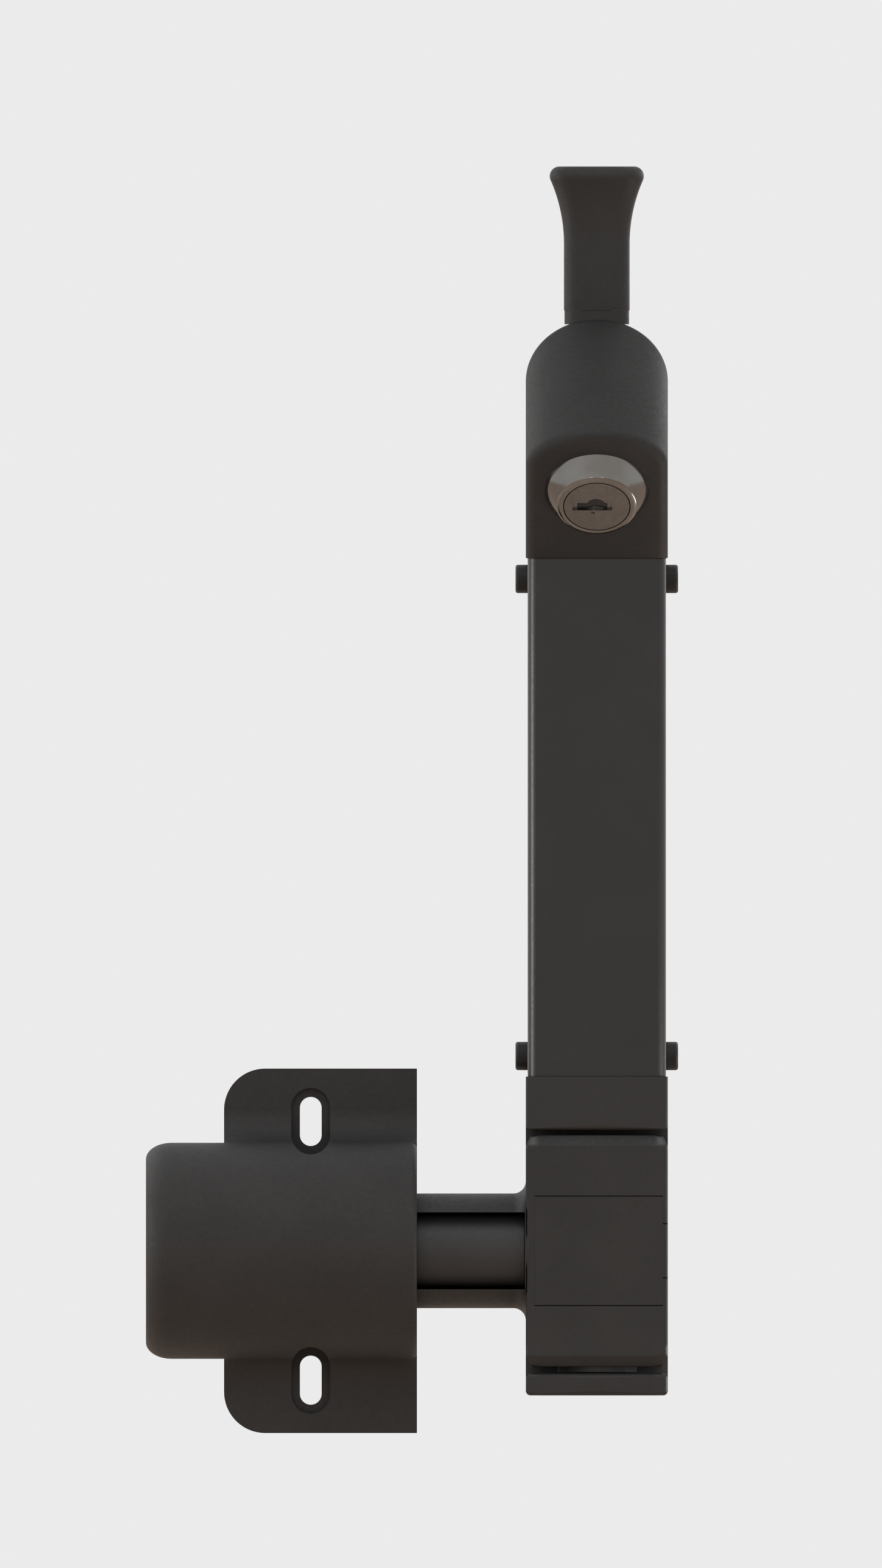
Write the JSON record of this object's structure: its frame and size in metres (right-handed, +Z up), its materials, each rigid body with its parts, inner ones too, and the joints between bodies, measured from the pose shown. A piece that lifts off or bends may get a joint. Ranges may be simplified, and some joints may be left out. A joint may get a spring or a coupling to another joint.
{
  "type": "magnetic pool gate latch",
  "caption": "Vertical-pull magnetic gate latch: post-side body with pull knob, key lock and jaw, and a gate bracket whose sliding arm carries the striker head with its bolt.",
  "frame": {"origin": "centre of the four post screw holes, on the face of the post", "axes": "+X to the right seen from the front, +Y into the post and the gate, +Z up along the tube"},
  "size_m": [0.1423, 0.07, 0.3387],
  "materials": {
    "powder_coat": "satin black powder coat with a fine grain",
    "screw_black": "black oxide",
    "chrome": "polished chrome plate",
    "lock_face": "satin nickel",
    "steel": "zinc-plated steel",
    "dark_steel": "blackened steel",
    "brass": "plain turned brass",
    "moulded_black": "moulded acetal",
    "magnet_plate": "nickel-plated magnet"
  },
  "bodies": {
    "latch_body": {"upper_bracket": "dark_steel", "lower_bracket": "dark_steel", "body_tube": "powder_coat", "top_cap": "powder_coat", "neck_bush": "powder_coat", "lock_cylinder": "chrome", "lock_nut": "steel", "keeper_block": "powder_coat", "keeper_bush": "steel", "back_spine": "powder_coat", "foot_plate": "powder_coat", "side_screws": "screw_black", "web_screws": "steel", "spine_screws": "steel", "spring_washer": "steel", "return_spring": "steel"},
    "knob_and_magnet": {"pull_knob": "powder_coat", "knob_screw": "dark_steel", "pull_rod": "steel", "lock_collar": "steel", "spring_collar": "steel", "collar_pins": "dark_steel", "magnet_carrier": "moulded_black", "latch_magnet": "magnet_plate", "magnet_cover": "steel"},
    "lock_core": {"lock_plug": "lock_face", "lock_cam": "steel", "cam_screw": "steel"},
    "gate_side": {"gate_bracket": "powder_coat", "guide_plate": "dark_steel", "clamp_screws": "dark_steel"},
    "striker": {"striker_casting": "powder_coat", "arm_core": "powder_coat", "core_pin": "dark_steel", "front_cover": "powder_coat", "cover_screws": "steel", "guide_bush": "brass", "bore_plug": "dark_steel", "bolt_spring": "steel"},
    "bolt": {"latch_bolt": "steel"}
  },
  "joints": [
    {"name": "knob_lift", "type": "slide", "parent": "latch_body", "child": "knob_and_magnet", "axis": [0, 0, 1], "range_m": [0, 0.014], "stiffness_N_per_m": 200, "springref_m": -0.02, "deforming": ["return_spring"]},
    {"name": "lock_turn", "type": "hinge", "parent": "latch_body", "child": "lock_core", "pos_m": [0, -0.05489, 0.08719], "axis": [0, -0.7071, -0.7071], "range_deg": [-90, 0]},
    {"name": "gate_opening", "type": "slide", "parent": "latch_body", "child": "gate_side", "axis": [0, -1, 0], "range_m": [0, 0.06]},
    {"name": "arm_adjust", "type": "slide", "parent": "gate_side", "child": "striker", "axis": [1, 0, 0], "range_m": [-0.019, 0.009]},
    {"name": "latch_bolt_rise", "type": "slide", "parent": "striker", "child": "bolt", "axis": [0, 0, 1], "range_m": [0, 0.008], "stiffness_N_per_m": 30, "springref_m": -0.01, "deforming": ["bolt_spring"]}
  ]
}
